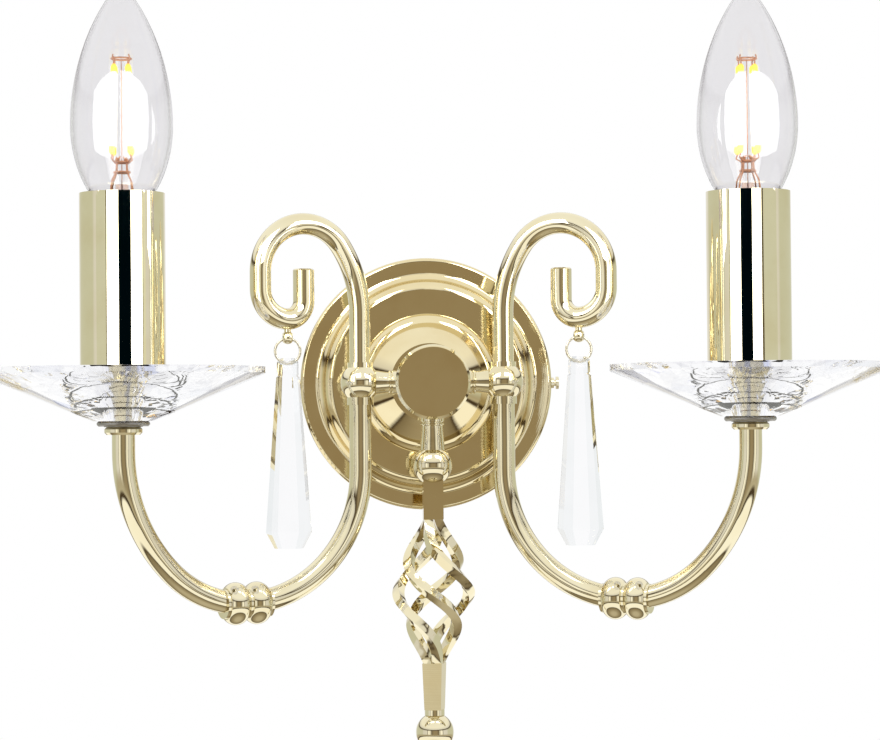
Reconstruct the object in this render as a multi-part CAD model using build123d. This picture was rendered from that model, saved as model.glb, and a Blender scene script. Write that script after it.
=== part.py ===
from build123d import *
import math
import os

os.makedirs("parts", exist_ok=True)

# A two-light wall bracket in turned and bent brass with cut-crystal drip dishes and drops.
# The wall is the plane y = 0 and the room is at -y.  +x is to the right and +z is up.
# The origin is on the wall, at the centre of the wall plate.  Millimetres throughout.

# ---------------------------------------------------------------- clearances
slip_gap = 0.3          # between pieces that only have to pass each other
run_gap = 0.08          # radial, between the lamp cap's crests and the holder's shell
touch_gap = 0.3         # between a moving piece and the fixed piece that it stops at
push_gap = 0.05         # between turned pieces that are pushed on to each other
overshoot = 1.0         # of a hole's cutter beyond the face that it leaves

# ---------------------------------------------------------------- wall plate
plate_radius = 46.9
plate_sheet = 1.2
plate_rim_height = 5.2
plate_lip = 1.3
plate_flat_width = 4.3
plate_mould_width = 6.4
plate_mould_height = 6.5
plate_annulus_width = 9.0
plate_bead_width = 3.5
plate_bead_height = 4.5
plate_cone_width = 8.0
plate_depth = 30.0
mould_sag = 0.9
bead_sag = 1.1

# ---------------------------------------------------------------- wall strap and its screws
strap_sheet = 1.5
strap_width = 16.0
strap_tab_width = 14.0
strap_tab_height = 15.0
wall_slot_spacing = 50.0
wall_slot_width = 4.5
wall_slot_length = 12.0
side_screw_radius = 1.25
side_screw_depth = 3.0
side_screw_thread = 3.0
side_knob_radius = 2.35
side_knob_base_radius = 2.0
side_knob_waist = 1.2
side_knob_disc = 1.0
side_knob_gap = 0.8
earth_screw_x = 13.0
earth_screw_radius = 2.0
earth_head_radius = 3.6
earth_head_height = 2.2
earth_head_edge = 0.6
earth_slot_width = 0.9
earth_slot_depth = 1.0

# ---------------------------------------------------------------- terminal block
block_width = 22.0
block_height = 12.0
block_depth = 8.6
block_offset = 1.5      # of the block above the strap's long bar
block_screw_radius = 1.6
block_screw_spacing = 7.0
block_screw_recess = 2.0
block_entry_radius = 1.6
block_entry_depth = 4.0

# ---------------------------------------------------------------- hub
hub_radius = 13.5
hub_wall = 2.0
hub_floor = 2.5
hub_length = 18.2
hub_edge = 0.7
cap_thickness = 1.0
cap_plug = 2.5
cap_edge = 0.3
nipple_radius = 5.0
hub_nipple_bore = 3.6
hub_nipple_front = 2.5
hub_nipple_back = 7.5
hub_nut_flats = 14.0
hub_nut_height = 3.5

# ---------------------------------------------------------------- spigots and balls
ball_radius = 7.12
ball_wall = 1.6
ball_x = 25.87
ball_depth = 40.0
ball_drop = 29.9
ball_neck_lip = 0.8
ball_top_neck_height = 0.1
ball_low_neck_height = 0.9
spigot_stub = 3.0
spigot_bore = 2.0
spigot_saddle = 1.0
spigot_reeds = 2
spigot_reed_radius = 4.3
spigot_reed_edge = 0.25
spigot_reed_length = 0.9
spigot_reed_gap = 0.3
spigot_root_radius = 3.6
spigot_waist = 3.8
spigot_waist_length = 0.6
spigot_flare = 4.4
drop_spigot_flare = 4.5
spigot_seat = 0.4
ball_stub = 2.8
tube_sink = 1.3         # of the arm and the scroll past the ball's inner face

# ---------------------------------------------------------------- arms
arm_angle = 26.0        # each arm comes forward from the wall's plane by this, in degrees
arm_reach = 91.8
arm_drop = 77.3
arm_radius = 4.0
arm_bore = 3.0
arm_low_radius = 40.5
arm_low_turn = 45.0
arm_top = 3.0
bead_radius = 7.5
bead_length = 7.4
bead_spacing = 8.2
bead_rim_radius = 5.6
bead_foot_radius = 5.2
bead_foot_length = 1.1

# ---------------------------------------------------------------- scrolls
scroll_radius = 3.8
scroll_rise = 25.0
scroll_lean_radius = 42.0
scroll_lean_turn = 35.0
scroll_crown_radius = 17.5
scroll_side_drop = 6.0
scroll_curl_radius = 10.5
scroll_hook_radius = 6.5
scroll_hook_length = 11.4
scroll_end_edge = 0.5

# ---------------------------------------------------------------- candle end
collar_bottom = -17.9
collar_radius = 6.6
collar_height = 2.7
collar_floor = 0.9
collar_edge = 0.8
washer_radius = 9.1
washer_thickness = 1.8
washer_edge = 0.6
washer_neck_radius = 6.6
washer_neck_height = 0.2
candle_nipple_top = 4.0
dish_radius = 48.7
dish_base_radius = 10.7
dish_floor_radius = 16.0
dish_floor_thickness = 8.0
dish_cone_height = 16.0
dish_rim_thickness = 2.25
dish_rim_width = 2.2
dish_facets = 20
dish_facet_bite = 0.8
sleeve_radius = 14.7
sleeve_wall = 1.0
sleeve_height = 70.1

# ---------------------------------------------------------------- lampholder
holder_radius = 12.0
holder_height = 61.0
holder_flange_height = 1.5
holder_rim_height = 4.0
holder_rim_edge = 0.5
holder_cavity_radius = 8.0
holder_partition_height = 39.0
holder_partition = 3.0
holder_contact_radius = 3.0
holder_contact_height = 1.2
holder_contact_edge = 0.5
holder_rivet_radius = 1.6
shell_wall = 0.7
shell_foot = 0.2
shell_height = 17.8

# ---------------------------------------------------------------- lamp
thread_pitch = 2.82
thread_depth = 0.42
cap_crest_radius = 6.92
cap_turns = 4
cap_wall = 0.4
cap_skirt = 4.2
cap_skirt_step = 0.1
cap_skirt_start = 0.6
lamp_button_radius = 2.4
lamp_button_height = 1.5
lamp_button_edge = 0.6
lamp_insulator_low = 4.2
lamp_insulator_high = 5.8
lamp_insulator_height = 2.7
lamp_length = 99.0
lamp_max_radius = 17.6
lamp_max_height = 49.8      # of the widest place, above the lamp's foot
glass_wall = 0.8
lamp_neck_radius = 5.9
lamp_neck_height = 20.8     # of the neck's top, where the glass starts to swell
swell_upright = 12.8        # how strongly the lower curve leaves the widest place straight down
swell_pull_radius = 12.1    # of the point that the lower curve is drawn towards
swell_pull_rise = 4.5       # of that point above the neck
flame_upright = 29.7        # how strongly the upper curve leaves the widest place straight up
flame_tip_width = 1.6       # how strongly the tip is blunted
stem_radius = 3.2
stem_tip_radius = 2.2
stem_flare = 5.6
stem_flare_height = 6.0
stem_height = 22.0
filament_count = 4
filament_radius = 0.85
filament_length = 29.5
filament_top_circle = 3.2
filament_low_circle = 4.6
filament_low = 41.0         # of the filaments' lower ends, above the lamp's foot
lead_radius = 0.35

# ---------------------------------------------------------------- drops
eye_shank_radius = 1.2
eye_shank_length = 1.0
eye_shank_sink = 1.0
eye_radius = 2.3
eye_hole_radius = 1.2
eye_hole_drop = 0.35
eye_thickness = 3.6
ring_wire_radius = 0.45
ring_radius = 4.45
crystal_turn = 12.0
crystal_channel_gap = 0.3
crystal_head_rise = 1.9     # of the crystal's top above its hole
crystal_head_length = 5.8
crystal_length = 60.5
crystal_foot = 5.8
crystal_top_width = 4.6
crystal_head_width = 7.1
crystal_notch_width = 6.3
crystal_body_width = 7.7
crystal_foot_width = 15.2
crystal_tip_width = 9.5
crystal_flatness = 0.79
crystal_bevel = 0.18
crystal_shoulder = 1.3
crystal_notch = 0.9

# ---------------------------------------------------------------- centre stem
bar_width = 7.2
bar_bottom = -49.3
basket_height = 51.6
basket_radius = 12.7
basket_turn = 253.0
basket_ease = 0.2
basket_fullness = 1.5
basket_rods = 4
basket_first_corner = 45.0
basket_stations = 17
basket_step = 0.001
rod_width = 3.1
rod_gap = 0.5
foot_bar_height = 16.7
foot_bar_end_width = 6.1
end_collar_radius = 3.6
end_collar_height = 1.6
end_ball_radius = 6.8
end_ball_sink = 0.4
end_button_neck = 2.0
end_button_radius = 2.3
end_button_height = 2.4

# ---------------------------------------------------------------- wiring
cable_radius = 1.5
cable_bend = 5.0
cable_offset = 1.7      # of each cable from the middle where both pass the hub's nipple

# ---------------------------------------------------------------- derived places
angle = math.radians(arm_angle)
candle_x = ball_x + arm_reach * math.cos(angle)
candle_y = -ball_depth - arm_reach * math.sin(angle)
washer_bottom = collar_bottom + collar_height + washer_neck_height
dish_bottom = washer_bottom + washer_thickness
dish_floor = dish_bottom + dish_floor_thickness
holder_partition_top = dish_floor + holder_partition_height + holder_partition
holder_top = dish_floor + holder_height
lamp_foot = holder_partition_top + holder_contact_height + touch_gap
lamp_cap_bottom = lamp_foot + lamp_button_height + lamp_insulator_height + touch_gap
lamp_cap_top = lamp_cap_bottom + cap_turns * thread_pitch + cap_skirt
stem_top = lamp_cap_bottom + thread_pitch + glass_wall / 2 + stem_height
shell_bore = cap_crest_radius + run_gap
shell_radius = shell_bore + thread_depth + shell_wall
hub_back = -plate_depth
block_low = strap_width / 2 + block_offset
ear_x = plate_radius - plate_sheet - slip_gap
scroll_rod_end = ball_radius - ball_wall - tube_sink
scroll_foot_x = (scroll_lean_radius * (1 - math.cos(math.radians(scroll_lean_turn)))
                 + scroll_crown_radius * (1 + math.cos(math.radians(scroll_lean_turn)))
                 - scroll_curl_radius)
scroll_foot_z = (scroll_rise + scroll_lean_radius * math.sin(math.radians(scroll_lean_turn))
                 - scroll_crown_radius * math.sin(math.radians(scroll_lean_turn))
                 - scroll_side_drop - scroll_curl_radius)
pendant_x = ball_x + scroll_foot_x * math.cos(angle)
pendant_y = -ball_depth - scroll_foot_x * math.sin(angle)
eye_shank_top = scroll_foot_z - scroll_radius + eye_shank_sink
eye_z = scroll_foot_z - scroll_radius - eye_shank_length / 2 - eye_radius
ring_top = eye_z - eye_hole_drop
ring_z = ring_top - ring_radius
crystal_hole_z = ring_z - ring_radius
crystal_top = crystal_hole_z + crystal_head_rise
foot_bar_top = bar_bottom - basket_height
foot_bar_bottom = foot_bar_top - foot_bar_height
end_ball_z = foot_bar_bottom - end_collar_height - end_ball_radius + end_ball_sink
arm_plane = Plane(
    origin=(ball_x, -ball_depth, 0),
    x_dir=(math.cos(angle), -math.sin(angle), 0),
    z_dir=(-math.sin(angle), -math.cos(angle), 0),
)


# ---------------------------------------------------------------- small helpers
def turned(*outline):
    """A solid turned about the z axis, from a closed outline of (radius, height) points."""
    return revolve(Plane.XZ * make_face(Polyline(*outline, close=True)), axis=Axis.Z)


def turned_edges(edges):
    """The same, from edges drawn in the x-y plane as (radius, height)."""
    return revolve(Plane.XZ * make_face(edges), axis=Axis.Z)


def tube(outer, bore, low, high):
    """A round sleeve about the z axis."""
    return turned((bore, low), (outer, low), (outer, high), (bore, high))


def rod(radius, low, high):
    """A round bar about the z axis."""
    return Pos(0, 0, (low + high) / 2) * Cylinder(radius, high - low)


def save(name, shape):
    """Write one node."""
    export_step(shape, "parts/" + name + ".step")


def save_pair(name, shape):
    """Write a right-hand piece and its mirror image on the left."""
    save(name + "_right", shape)
    save(name + "_left", mirror(shape, about=Plane.YZ))


def at_candle(shape):
    """Move a piece made about the z axis to the right-hand candle's axis."""
    return Pos(candle_x, candle_y, 0) * shape


def swept(section, path):
    """Sweep a section, drawn round the origin, along a path."""
    start = Plane(origin=path @ 0, z_dir=path % 0)
    return sweep(start * section, path=path)


# ---------------------------------------------------------------- wall plate, strap and hub
def plate_outline():
    """The plate's outer face as edges, from the rim at the wall to the seat's middle."""
    lip_z = -(plate_rim_height + plate_lip)
    flat_edge = plate_radius - plate_lip
    mould_edge = flat_edge - plate_flat_width
    annulus_edge = mould_edge - plate_mould_width
    bead_edge = annulus_edge - plate_annulus_width
    cone_edge = bead_edge - plate_bead_width
    seat_edge = cone_edge - plate_cone_width
    annulus_z = lip_z - plate_mould_height
    cone_z = annulus_z - plate_bead_height
    middle = ((mould_edge + annulus_edge) / 2, (lip_z + annulus_z) / 2)
    return [
        Line((plate_radius, 0), (plate_radius, -plate_rim_height)),
        CenterArc((flat_edge, -plate_rim_height), plate_lip, 0, -90),
        Line((flat_edge, lip_z), (mould_edge, lip_z)),
        SagittaArc((mould_edge, lip_z), middle, -mould_sag),
        SagittaArc(middle, (annulus_edge, annulus_z), mould_sag),
        Line((annulus_edge, annulus_z), (bead_edge, annulus_z)),
        SagittaArc((bead_edge, annulus_z), (cone_edge, cone_z), bead_sag),
        Line((cone_edge, cone_z), (seat_edge, hub_back)),
        Line((seat_edge, hub_back), (0, hub_back)),
        Line((0, hub_back), (0, 0)),
        Line((0, 0), (plate_radius, 0)),
    ]


def about_wall_axis(shape):
    """Turn a piece made about the z axis so that its top faces the room, along -y."""
    return Rot(90, 0, 0) * shape


def backplate():
    full = revolve(make_face(plate_outline()), axis=Axis.Y)
    hollow = Pos(0, plate_sheet, 0) * full
    hollow = hollow & about_wall_axis(rod(plate_radius - plate_sheet, -plate_sheet, plate_depth))
    reach = plate_radius + overshoot
    centre_hole = about_wall_axis(rod(nipple_radius + slip_gap / 2, 0, plate_depth + overshoot))
    screw_hole = Rot(0, 90, 0) * rod(side_screw_radius + slip_gap, -reach, reach)
    return full - hollow - centre_hole - Pos(0, -side_screw_depth, 0) * screw_hole


def wall_strap():
    inside = plate_radius - plate_sheet - slip_gap / 2
    ear_height = plate_rim_height + plate_lip - plate_sheet - slip_gap
    flat = Pos(0, -strap_sheet / 2, 0) * Box(2 * ear_x, strap_sheet, strap_width)
    shape = flat + Pos(0, -strap_sheet / 2, strap_width / 2 + strap_tab_height / 2) * Box(
        strap_tab_width, strap_sheet, strap_tab_height)
    ear_width = 2 * math.sqrt(inside ** 2 - ear_x ** 2)
    for side in (1, -1):
        ear = Box(strap_sheet, ear_height, ear_width)
        shape += Pos(side * (ear_x - strap_sheet / 2), -ear_height / 2, 0) * ear
        slot = extrude(SlotOverall(wall_slot_length, wall_slot_width), strap_sheet, both=True)
        shape -= Pos(side * wall_slot_spacing / 2, 0, 0) * Rot(90, 0, 0) * slot
    corner = about_wall_axis(rod(inside, -overshoot, ear_height + overshoot))
    tapped = Rot(0, 90, 0) * rod(side_screw_radius, -plate_radius, plate_radius)
    earth_hole = about_wall_axis(rod(earth_screw_radius, -overshoot, strap_sheet + overshoot))
    shape = (shape & corner) - Pos(0, -side_screw_depth, 0) * tapped
    return shape - Pos(earth_screw_x, 0, 0) * earth_hole


def side_screw():
    """A small two-disc knob on a threaded shank, through the rim into the strap's ear."""
    shank_end = ear_x - side_screw_thread
    knob = plate_radius + push_gap
    first = knob + side_knob_disc
    second = first + side_knob_gap
    shape = turned(
        (0, shank_end), (side_screw_radius, shank_end), (side_screw_radius, knob),
        (side_knob_base_radius, knob), (side_knob_base_radius, first), (side_knob_waist, first),
        (side_knob_waist, second), (side_knob_radius, second),
        (side_knob_radius, second + side_knob_disc), (0, second + side_knob_disc))
    return Pos(0, -side_screw_depth, 0) * Rot(0, 90, 0) * shape


def earth_screw():
    head_top = strap_sheet + earth_head_height
    shape = turned(
        (0, 0), (earth_screw_radius, 0), (earth_screw_radius, strap_sheet),
        (earth_head_radius, strap_sheet), (earth_head_radius, head_top - earth_head_edge),
        (earth_head_radius - earth_head_edge, head_top), (0, head_top))
    slot = Pos(0, 0, head_top) * Box(3 * earth_head_radius, earth_slot_width, 2 * earth_slot_depth)
    return Pos(earth_screw_x, 0, 0) * about_wall_axis(shape - slot)


def terminal_block():
    shape = Box(block_width, block_depth, block_height)
    for place in (-1, 0, 1):
        well = Rot(90, 0, 0) * Cylinder(block_screw_radius, 2 * block_screw_recess)
        shape -= Pos(place * block_screw_spacing, -block_depth / 2, 0) * well
    for side in (1, -1):
        entry = Cylinder(block_entry_radius, 2 * block_entry_depth)
        shape -= Pos(side * cable_offset, 0, -block_height / 2) * entry
    return Pos(0, -strap_sheet - block_depth / 2, block_low + block_height / 2) * shape


def hub_body():
    depth = hub_length
    shape = about_wall_axis(turned(
        (nipple_radius, plate_depth), (hub_radius, plate_depth),
        (hub_radius, plate_depth + depth - hub_edge), (hub_radius - hub_edge, plate_depth + depth),
        (hub_radius - hub_wall, plate_depth + depth), (hub_radius - hub_wall, plate_depth + hub_floor),
        (nipple_radius, plate_depth + hub_floor)))
    side_hole = Rot(0, 90, 0) * Cylinder(spigot_stub, 4 * hub_radius)
    shape -= Pos(0, -ball_depth, 0) * side_hole
    return shape - Pos(0, -ball_depth, -hub_radius) * Cylinder(spigot_stub, hub_radius)


def hub_cap():
    """The flat round front that closes the hub."""
    low = plate_depth + hub_length
    edge = hub_radius - hub_edge
    return about_wall_axis(turned(
        (0, low - cap_plug), (hub_radius - hub_wall, low - cap_plug), (hub_radius - hub_wall, low),
        (edge, low), (edge, low + cap_thickness - cap_edge), (edge - cap_edge, low + cap_thickness),
        (0, low + cap_thickness)))


def hub_nipple():
    front = plate_depth + hub_floor + hub_nipple_front
    return about_wall_axis(tube(nipple_radius, hub_nipple_bore, plate_depth - hub_nipple_back, front))


def hub_nut():
    top = plate_depth - plate_sheet
    across = extrude(RegularPolygon(hub_nut_flats / 2, 6, major_radius=False), hub_nut_height)
    shape = across - Cylinder(nipple_radius, 4 * hub_nut_height)
    return about_wall_axis(Pos(0, 0, top - hub_nut_height) * shape)


# ---------------------------------------------------------------- spigots and balls
def reed(low, high):
    """The outline of one raised ring on a link, its edges broken."""
    broken = spigot_reed_radius - spigot_reed_edge
    return [
        (spigot_root_radius, low), (broken, low), (spigot_reed_radius, low + spigot_reed_edge),
        (spigot_reed_radius, high - spigot_reed_edge), (broken, high), (spigot_root_radius, high),
    ]


def spigot(distance, flare, bore):
    """A turned link about the z axis from the hub's wall to a ball whose centre is at distance."""
    ball_face = distance - math.sqrt(ball_radius ** 2 - flare ** 2)
    stub_end = distance - math.sqrt((ball_radius - ball_wall) ** 2 - ball_stub ** 2)
    saddle = hub_radius - spigot_saddle
    outline = [(0, hub_radius - hub_wall), (spigot_stub, hub_radius - hub_wall), (spigot_stub, saddle)]
    high = hub_radius
    for step in range(spigot_reeds):
        low = hub_radius + step * (spigot_reed_length + spigot_reed_gap)
        high = low + spigot_reed_length
        start = saddle if step == 0 else low
        outline += reed(start, high)
    outline += [(spigot_root_radius, high + spigot_reed_gap), (spigot_waist, high + spigot_reed_gap)]
    outline += [(spigot_waist, high + spigot_reed_gap + spigot_waist_length), (flare, ball_face)]
    outline += [(ball_stub, ball_face + spigot_seat), (ball_stub, stub_end), (0, stub_end)]
    shape = turned(*outline)
    shape -= Pos(0, 0, distance) * Sphere(ball_radius) - rod(ball_stub, 0, distance)
    shape -= about_hub_clearance()
    if bore > 0:
        shape -= rod(bore, 0, distance)
    return shape


def about_hub_clearance():
    """The hub's round wall, seen from a link along z, without the link's own threaded stub."""
    wall = Rot(90, 0, 0) * Cylinder(hub_radius, 6 * hub_radius)
    return wall - rod(spigot_stub, 0, 2 * hub_radius)


def ball(stub_side):
    """A hollow ball with necks above and below and a threaded hole on one side."""
    shape = Sphere(ball_radius)
    shape += rod(arm_radius + ball_neck_lip, -ball_radius - ball_low_neck_height, 0)
    shape += rod(scroll_radius + ball_neck_lip, 0, ball_radius + ball_top_neck_height)
    shape -= Sphere(ball_radius - ball_wall)
    shape -= rod(arm_radius, -2 * ball_radius, 0) + rod(scroll_radius, 0, 2 * ball_radius)
    return shape - Rot(0, 90 * stub_side, 0) * rod(ball_stub, 0, 2 * ball_radius)


def ball_bottom():
    shape = Sphere(ball_radius) - Sphere(ball_radius - ball_wall)
    return shape - Cylinder(ball_stub, 4 * ball_radius)


# ---------------------------------------------------------------- arms and scrolls
def arm_edges(ball_end, candle_end):
    """The arm's centreline in its own plane: out along x, up along y, from ball to candle."""
    half = arm_reach / 2
    low = math.radians(arm_low_turn)
    side_radius = (half - arm_low_radius * math.sin(low)) / (1 - math.cos(math.radians(90 - arm_low_turn)))
    low_x = half + arm_low_radius * math.sin(low)
    low_z = -arm_drop + arm_low_radius * (1 - math.cos(low))
    side_z = low_z + side_radius * math.cos(low)
    side_x = low_x - side_radius * math.sin(low)
    return [
        Line((0, ball_end), (0, half - arm_drop)),
        CenterArc((half, half - arm_drop), half, 180, 90),
        CenterArc((half, arm_low_radius - arm_drop), arm_low_radius, 270, arm_low_turn),
        CenterArc((side_x, side_z), side_radius, arm_low_turn - 90, 90 - arm_low_turn),
        Line((arm_reach, side_z), (arm_reach, candle_end)),
    ]


def arm_tube():
    path = Wire(arm_edges(-scroll_rod_end, arm_top))
    return arm_plane.location * swept(Circle(arm_radius) - Circle(arm_bore), path)


def twin_bead():
    """Two rounded beads close together, turned in one and slid onto the arm's lowest place."""
    outer = (bead_spacing + bead_length) / 2
    inner = (bead_spacing - bead_length) / 2
    swell = bead_radius - bead_rim_radius
    edges = [
        Line((0, -outer - bead_foot_length), (bead_foot_radius, -outer - bead_foot_length)),
        Line((bead_foot_radius, -outer - bead_foot_length), (bead_foot_radius, -outer)),
        Line((bead_foot_radius, -outer), (bead_rim_radius, -outer)),
        SagittaArc((bead_rim_radius, -outer), (bead_rim_radius, -inner), -swell),
        Line((bead_rim_radius, -inner), (bead_rim_radius, inner)),
        SagittaArc((bead_rim_radius, inner), (bead_rim_radius, outer), -swell),
        Line((bead_rim_radius, outer), (bead_foot_radius, outer)),
        Line((bead_foot_radius, outer), (bead_foot_radius, outer + bead_foot_length)),
        Line((bead_foot_radius, outer + bead_foot_length), (0, outer + bead_foot_length)),
        Line((0, outer + bead_foot_length), (0, -outer - bead_foot_length)),
    ]
    shape = Pos(arm_reach / 2, -arm_drop, 0) * Rot(0, 90, 0) * turned_edges(edges)
    core = swept(Circle(arm_radius), Wire(arm_edges(-scroll_rod_end, arm_top)))
    return arm_plane.location * (shape - core)


def scroll_edges():
    """The scroll's centreline in the arm's plane, from the ball up, over and into the hook."""
    lean = math.radians(scroll_lean_turn)
    lean_x = scroll_lean_radius * (1 - math.cos(lean))
    lean_z = scroll_rise + scroll_lean_radius * math.sin(lean)
    crown_x = lean_x + scroll_crown_radius * math.cos(lean)
    crown_z = lean_z - scroll_crown_radius * math.sin(lean)
    side_x = crown_x + scroll_crown_radius
    side_z = crown_z - scroll_side_drop
    foot_x = side_x - scroll_curl_radius
    hook_x = foot_x - scroll_hook_radius
    hook_z = side_z - scroll_curl_radius + scroll_hook_radius
    return [
        Line((0, scroll_rod_end), (0, scroll_rise)),
        CenterArc((scroll_lean_radius, scroll_rise), scroll_lean_radius, 180, -scroll_lean_turn),
        CenterArc((crown_x, crown_z), scroll_crown_radius, 180 - scroll_lean_turn, scroll_lean_turn - 180),
        Line((side_x, crown_z), (side_x, side_z)),
        CenterArc((foot_x, side_z), scroll_curl_radius, 0, -90),
        CenterArc((foot_x, hook_z), scroll_hook_radius, 270, -90),
        Line((hook_x, hook_z), (hook_x, hook_z + scroll_hook_length)),
    ]


def scroll():
    path = Wire(scroll_edges())
    shape = swept(Circle(scroll_radius), path)
    end_face = shape.faces().sort_by_distance(path @ 1)[0]
    shape = arm_plane.location * chamfer(end_face.edges(), scroll_end_edge)
    return shape - Pos(pendant_x, pendant_y, 0) * rod(eye_shank_radius, eye_z, eye_shank_top)


# ---------------------------------------------------------------- candle end
def arm_collar():
    top = collar_bottom + collar_height
    floor = collar_bottom + collar_floor
    hole = arm_radius + push_gap
    return at_candle(turned(
        (hole, collar_bottom), (collar_radius - collar_edge, collar_bottom),
        (collar_radius, collar_bottom + collar_edge), (collar_radius, top - collar_edge),
        (collar_radius - collar_edge, top), (nipple_radius, top), (nipple_radius, floor), (hole, floor)))


def dish_washer():
    low = washer_bottom - washer_neck_height
    hole = nipple_radius + push_gap
    return at_candle(turned(
        (hole, low), (washer_neck_radius, low), (washer_neck_radius, washer_bottom),
        (washer_radius - washer_edge, washer_bottom), (washer_radius, washer_bottom + washer_edge),
        (washer_radius, dish_bottom - washer_edge), (washer_radius - washer_edge, dish_bottom),
        (hole, dish_bottom)))


def candle_nipple():
    return at_candle(tube(nipple_radius, arm_radius, collar_bottom + collar_floor, candle_nipple_top))


def dish_pyramid(low_apothem, high_apothem, turn):
    """The many-sided cone that cuts one row of facets on the dish's underside."""
    top = dish_bottom + dish_cone_height + dish_rim_thickness
    slope = (high_apothem - low_apothem) / dish_cone_height
    top_apothem = low_apothem + slope * (top - dish_bottom)
    low = Pos(0, 0, dish_bottom) * RegularPolygon(low_apothem, dish_facets, major_radius=False)
    high = Pos(0, 0, top) * RegularPolygon(top_apothem, dish_facets, major_radius=False)
    return Rot(0, 0, turn) * loft([low, high], ruled=True)


def bobeche():
    """The cut-crystal drip dish."""
    rim_low = dish_bottom + dish_cone_height
    rim_top = rim_low + dish_rim_thickness
    hole = nipple_radius + slip_gap
    shape = turned(
        (hole, dish_bottom), (dish_base_radius, dish_bottom), (dish_radius, rim_low),
        (dish_radius, rim_top), (dish_radius - dish_rim_width, rim_top),
        (dish_floor_radius, dish_floor), (hole, dish_floor))
    inner_row = dish_pyramid(dish_base_radius - dish_facet_bite / 2, dish_radius + dish_facet_bite, 0)
    outer_row = dish_pyramid(
        dish_base_radius + dish_facet_bite, dish_radius - dish_facet_bite / 2, 180 / dish_facets)
    return at_candle(shape & inner_row & outer_row)


def candle_sleeve():
    return at_candle(tube(sleeve_radius, sleeve_radius - sleeve_wall, dish_floor, dish_floor + sleeve_height))


# ---------------------------------------------------------------- lampholder
def lampholder_body():
    fit = sleeve_radius - sleeve_wall - slip_gap
    cavity_low = candle_nipple_top + slip_gap
    cavity_high = dish_floor + holder_partition_height
    socket = shell_radius
    shape = turned(
        (nipple_radius, dish_floor), (fit, dish_floor), (fit, dish_floor + holder_flange_height),
        (holder_radius, dish_floor + holder_flange_height), (holder_radius, holder_top - holder_rim_height),
        (fit, holder_top - holder_rim_height + holder_rim_edge), (fit, holder_top), (socket, holder_top),
        (socket, holder_partition_top), (holder_rivet_radius, holder_partition_top),
        (holder_rivet_radius, cavity_high), (holder_cavity_radius, cavity_high),
        (holder_cavity_radius, cavity_low), (nipple_radius, cavity_low))
    return at_candle(shape)


def ridged(radius, depth, low, turns):
    """Outline points of a rolled thread, as plain ridges: crests at radius, roots depth inside."""
    points = []
    for turn in range(turns):
        base = low + turn * thread_pitch
        points.append((radius - depth, base))
        points.append((radius, base + thread_pitch / 2))
    points.append((radius - depth, low + turns * thread_pitch))
    return points


def lampholder_shell():
    low = holder_partition_top + shell_foot
    high = low + shell_height
    turns = int(shell_height / thread_pitch)
    bore = [(2 * shell_bore + thread_depth - radius, height)
            for radius, height in ridged(shell_bore + thread_depth, thread_depth, low, turns)]
    outline = bore + [(shell_bore + thread_depth, high), (shell_radius, high), (shell_radius, low)]
    return at_candle(turned(*outline))


def lampholder_contact():
    low = holder_partition_top - holder_partition
    top = holder_partition_top + holder_contact_height
    return at_candle(turned(
        (0, low), (holder_rivet_radius, low), (holder_rivet_radius, holder_partition_top),
        (holder_contact_radius, holder_partition_top), (holder_contact_radius, top - holder_contact_edge),
        (holder_contact_radius - holder_contact_edge, top), (0, top)))


# ---------------------------------------------------------------- lamp
def bulb_contact():
    """The lamp's foot: solder button and black insulator."""
    button = lamp_foot + lamp_button_height
    top = button + lamp_insulator_height
    return at_candle(turned(
        (0, lamp_foot), (lamp_button_radius - lamp_button_edge, lamp_foot),
        (lamp_button_radius, lamp_foot + lamp_button_edge), (lamp_button_radius, button),
        (lamp_insulator_low, button), (lamp_insulator_high, top), (0, top)))


def bulb_cap():
    """The lamp's threaded cap, rolled from thin sheet."""
    thread = ridged(cap_crest_radius, thread_depth, lamp_cap_bottom, cap_turns)
    inside = cap_crest_radius - thread_depth - cap_wall
    skirt = cap_crest_radius - cap_skirt_step
    outline = thread + [
        (skirt, lamp_cap_top - cap_skirt + cap_skirt_start), (skirt, lamp_cap_top),
        (inside, lamp_cap_top), (inside, lamp_cap_bottom)]
    return at_candle(turned(*outline))


def glass_profile(inset):
    """The envelope's outline, drawn inwards by inset: neck, swell, widest place and flame tip."""
    neck_low = lamp_cap_bottom + thread_pitch + inset
    neck_high = lamp_foot + lamp_neck_height
    top = lamp_foot + lamp_length - inset
    widest = lamp_foot + lamp_max_height
    neck = lamp_neck_radius - inset
    high_radius = lamp_max_radius - inset
    pull = (swell_pull_radius - inset, neck_high + swell_pull_rise)
    return [
        Line((0, neck_low), (neck, neck_low)),
        Line((neck, neck_low), (neck, neck_high)),
        Bezier((neck, neck_high), pull, (high_radius, widest - swell_upright), (high_radius, widest)),
        Bezier((high_radius, widest), (high_radius, widest + flame_upright), (flame_tip_width, top),
               (0, top)),
        Line((0, top), (0, neck_low)),
    ]


def bulb_glass():
    """The clear envelope, with the glass stem that is fused to it at the neck."""
    envelope = turned_edges(glass_profile(0)) - turned_edges(glass_profile(glass_wall))
    stem_low = stem_top - stem_height
    stem = turned(
        (0, stem_low), (stem_flare, stem_low), (stem_radius, stem_low + stem_flare_height),
        (stem_tip_radius, stem_top), (0, stem_top))
    return at_candle(envelope + stem)


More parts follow.
